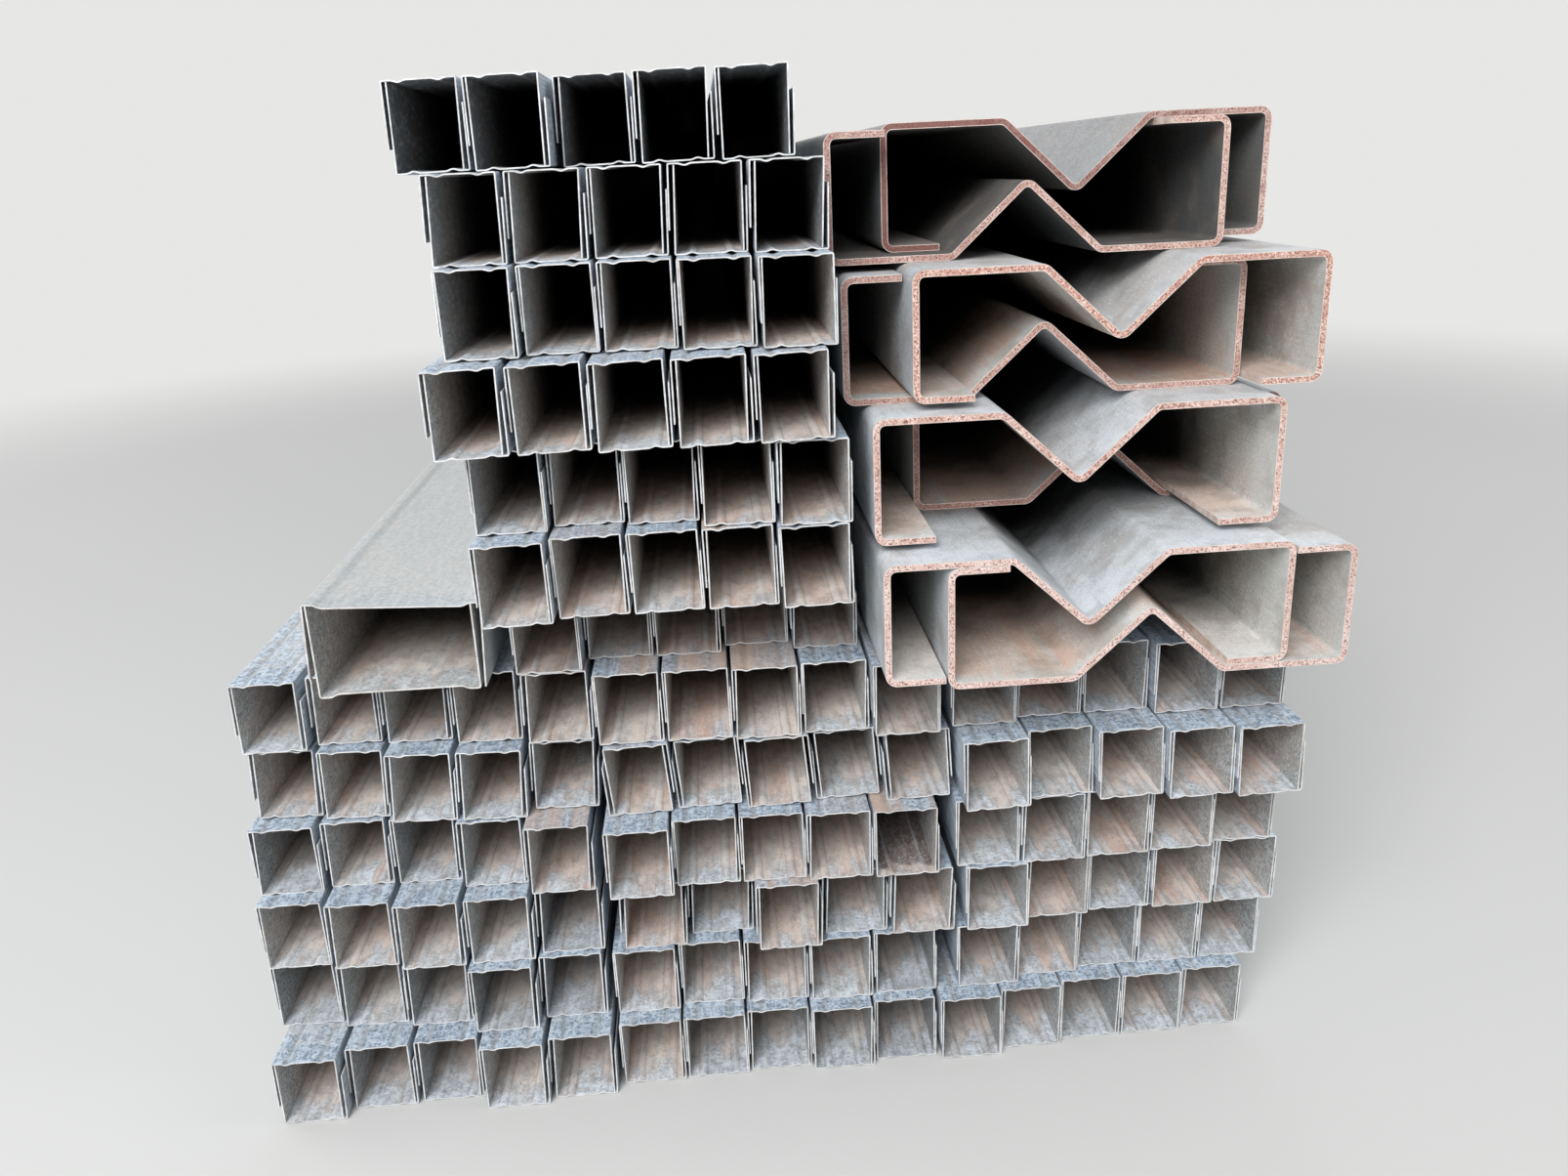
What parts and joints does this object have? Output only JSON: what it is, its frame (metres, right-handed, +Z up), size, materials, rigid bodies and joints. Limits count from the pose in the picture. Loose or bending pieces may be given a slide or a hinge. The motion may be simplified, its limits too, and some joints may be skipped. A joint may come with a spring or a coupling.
{
  "type": "stack of metal studs",
  "caption": "Stack of long galvanised steel studs lying on the floor, light channels closed in pairs into boxes, with heavy V-web sections nested beside them.",
  "frame": {"origin": "middle of the stack's base, on the floor", "axes": "+Y along the studs from their front cut ends to the back, +X across the stack, +Z up"},
  "size_m": [0.846, 3.149, 0.7898],
  "materials": {
    "lower_stud_steel": "dull weathered zinc with brown dust inside",
    "upper_stud_steel": "dull weathered zinc with brown dust inside",
    "wide_channel_steel": "dull weathered zinc with brown stains",
    "heavy_section_steel": "weathered zinc with a rust wash and rusty cut ends"
  },
  "bodies": {
    "root": {"heavy_layer_1_cover": "heavy_section_steel", "heavy_layer_1_cradle": "heavy_section_steel", "heavy_layer_2_cover": "heavy_section_steel", "heavy_layer_2_cradle": "heavy_section_steel", "heavy_layer_3_cover": "heavy_section_steel", "heavy_layer_3_cradle": "heavy_section_steel", "heavy_layer_4_cover": "heavy_section_steel", "heavy_layer_4_cradle": "heavy_section_steel", "left_row_1": "lower_stud_steel", "left_row_2": "lower_stud_steel", "left_row_3": "lower_stud_steel", "left_row_4": "lower_stud_steel", "left_row_5": "lower_stud_steel", "left_row_6": "lower_stud_steel", "middle_row_1": "lower_stud_steel", "middle_row_2": "lower_stud_steel", "middle_row_3": "lower_stud_steel", "middle_row_4": "lower_stud_steel", "middle_row_5": "lower_stud_steel", "middle_row_6": "lower_stud_steel", "right_row_1": "lower_stud_steel", "right_row_2": "lower_stud_steel", "right_row_3": "lower_stud_steel", "right_row_4": "lower_stud_steel", "right_row_5": "lower_stud_steel", "right_row_6": "lower_stud_steel", "upper_row_1": "upper_stud_steel", "upper_row_2": "upper_stud_steel", "upper_row_3": "upper_stud_steel", "upper_row_4": "upper_stud_steel", "upper_row_5": "upper_stud_steel", "upper_row_6": "upper_stud_steel", "upper_row_7": "upper_stud_steel", "wide_channel_lower": "wide_channel_steel", "wide_channel_upper": "wide_channel_steel"}
  },
  "joints": []
}
